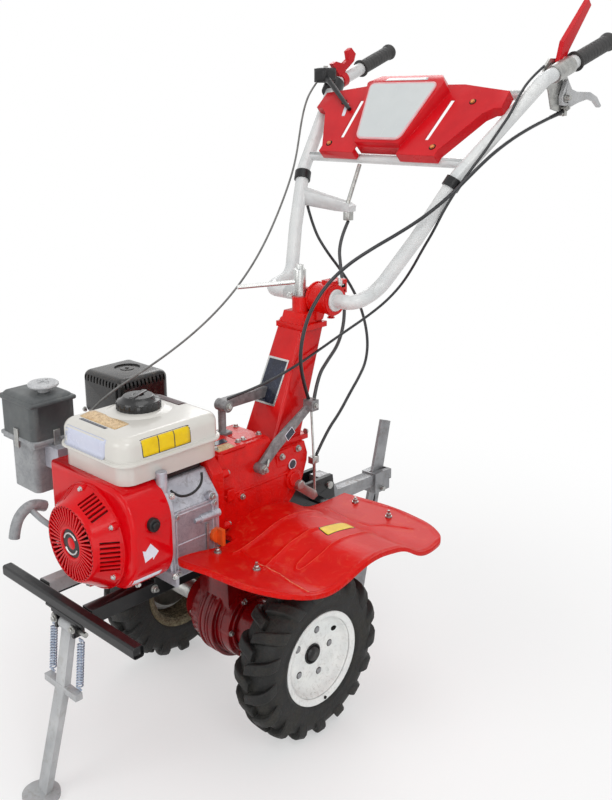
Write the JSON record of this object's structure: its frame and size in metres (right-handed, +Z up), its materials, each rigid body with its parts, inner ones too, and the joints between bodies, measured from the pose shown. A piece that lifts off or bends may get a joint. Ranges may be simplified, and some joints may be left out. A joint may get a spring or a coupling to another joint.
{
  "type": "power weeder",
  "caption": "Walking petrol power weeder with lugged tyres, wide fenders, a leaning column and a tilting handlebar.",
  "frame": {"origin": "on the ground under the middle of the axle", "axes": "+X forward to the recoil starter and bumper, +Y to the machine's left, +Z up"},
  "size_m": [1.507, 0.784, 1.502],
  "materials": {
    "tyre_rubber": "rough",
    "rim_paint": "satin",
    "zinc_steel": "satin",
    "red_cast": "gloss",
    "red_sheet": "gloss",
    "engine_alloy": "matt",
    "black_plastic": "satin",
    "orange_plastic": "satin",
    "tank_white": "gloss",
    "black_steel": "satin",
    "grey_steel": "satin",
    "tube_white": "satin",
    "plate_grey": "satin",
    "cable_black": "satin"
  },
  "bodies": {
    "chassis": {"air_cleaner": "black_plastic", "air_cleaner_base": "black_plastic", "carburettor": "engine_alloy", "clutch_arm": "zinc_steel", "clutch_bell": "red_cast", "column_head": "red_cast", "column_lock": "zinc_steel", "depth_blade": "grey_steel", "engine_bed": "black_steel", "engine_block": "engine_alloy", "engine_cylinder": "engine_alloy", "fan_shroud": "red_sheet", "fender_left": "red_sheet", "fender_right": "red_sheet", "fender_stays": "black_steel", "final_drive_case": "red_cast", "front_bumper": "black_steel", "front_linkage": "zinc_steel", "fuel_cap": "black_plastic", "fuel_tank": "tank_white", "gearbox_housing": "red_cast", "handlebar_column": "red_cast", "hitch_bracket": "black_steel", "hitch_pins": "zinc_steel", "hitch_tongue": "grey_steel", "muffler": "black_steel", "oil_plug": "orange_plastic", "recoil_starter": "red_sheet", "shift_lever_rear": "zinc_steel", "stand_bracket": "black_steel", "starter_grip": "black_plastic", "tank_mount": "black_steel"},
    "wheels": {"tyre_left": "tyre_rubber", "tyre_right": "tyre_rubber", "wheel_rims": "rim_paint", "wheel_hubs": "zinc_steel", "axle_shaft": "zinc_steel"},
    "stand": {"stand_leg": "grey_steel", "stand_springs": "zinc_steel"},
    "handlebar": {"handlebar_tube_left": "tube_white", "handlebar_tube_right": "tube_white", "cross_tubes": "tube_white", "hand_grips": "black_plastic", "control_panel": "red_sheet", "panel_insert": "plate_grey", "lever_bracket_left": "zinc_steel", "lever_hand_left": "grey_steel", "red_levers": "red_sheet", "throttle_box": "black_plastic", "shift_rod": "zinc_steel", "cable_straps": "black_plastic", "cable_clutch": "cable_black", "cable_gear": "cable_black", "cable_reverse": "cable_black", "cable_shift": "cable_black", "cable_throttle": "cable_black"}
  },
  "joints": [
    {"name": "wheel_spin", "type": "hinge", "parent": "chassis", "child": "wheels", "pos_m": [0, 0, 0.183], "axis": [0, 1, 0], "continuous": true},
    {"name": "stand_fold", "type": "hinge", "parent": "chassis", "child": "stand", "pos_m": [0.429, 0, 0.336], "axis": [0, 1, 0], "range_deg": [0, 75]},
    {"name": "handlebar_tilt", "type": "hinge", "parent": "chassis", "child": "handlebar", "pos_m": [-0.25, 0, 0.872], "axis": [0, 1, 0], "range_deg": [-25, 20], "deforming": ["cable_clutch", "cable_reverse", "cable_throttle", "cable_shift", "cable_gear"]}
  ]
}
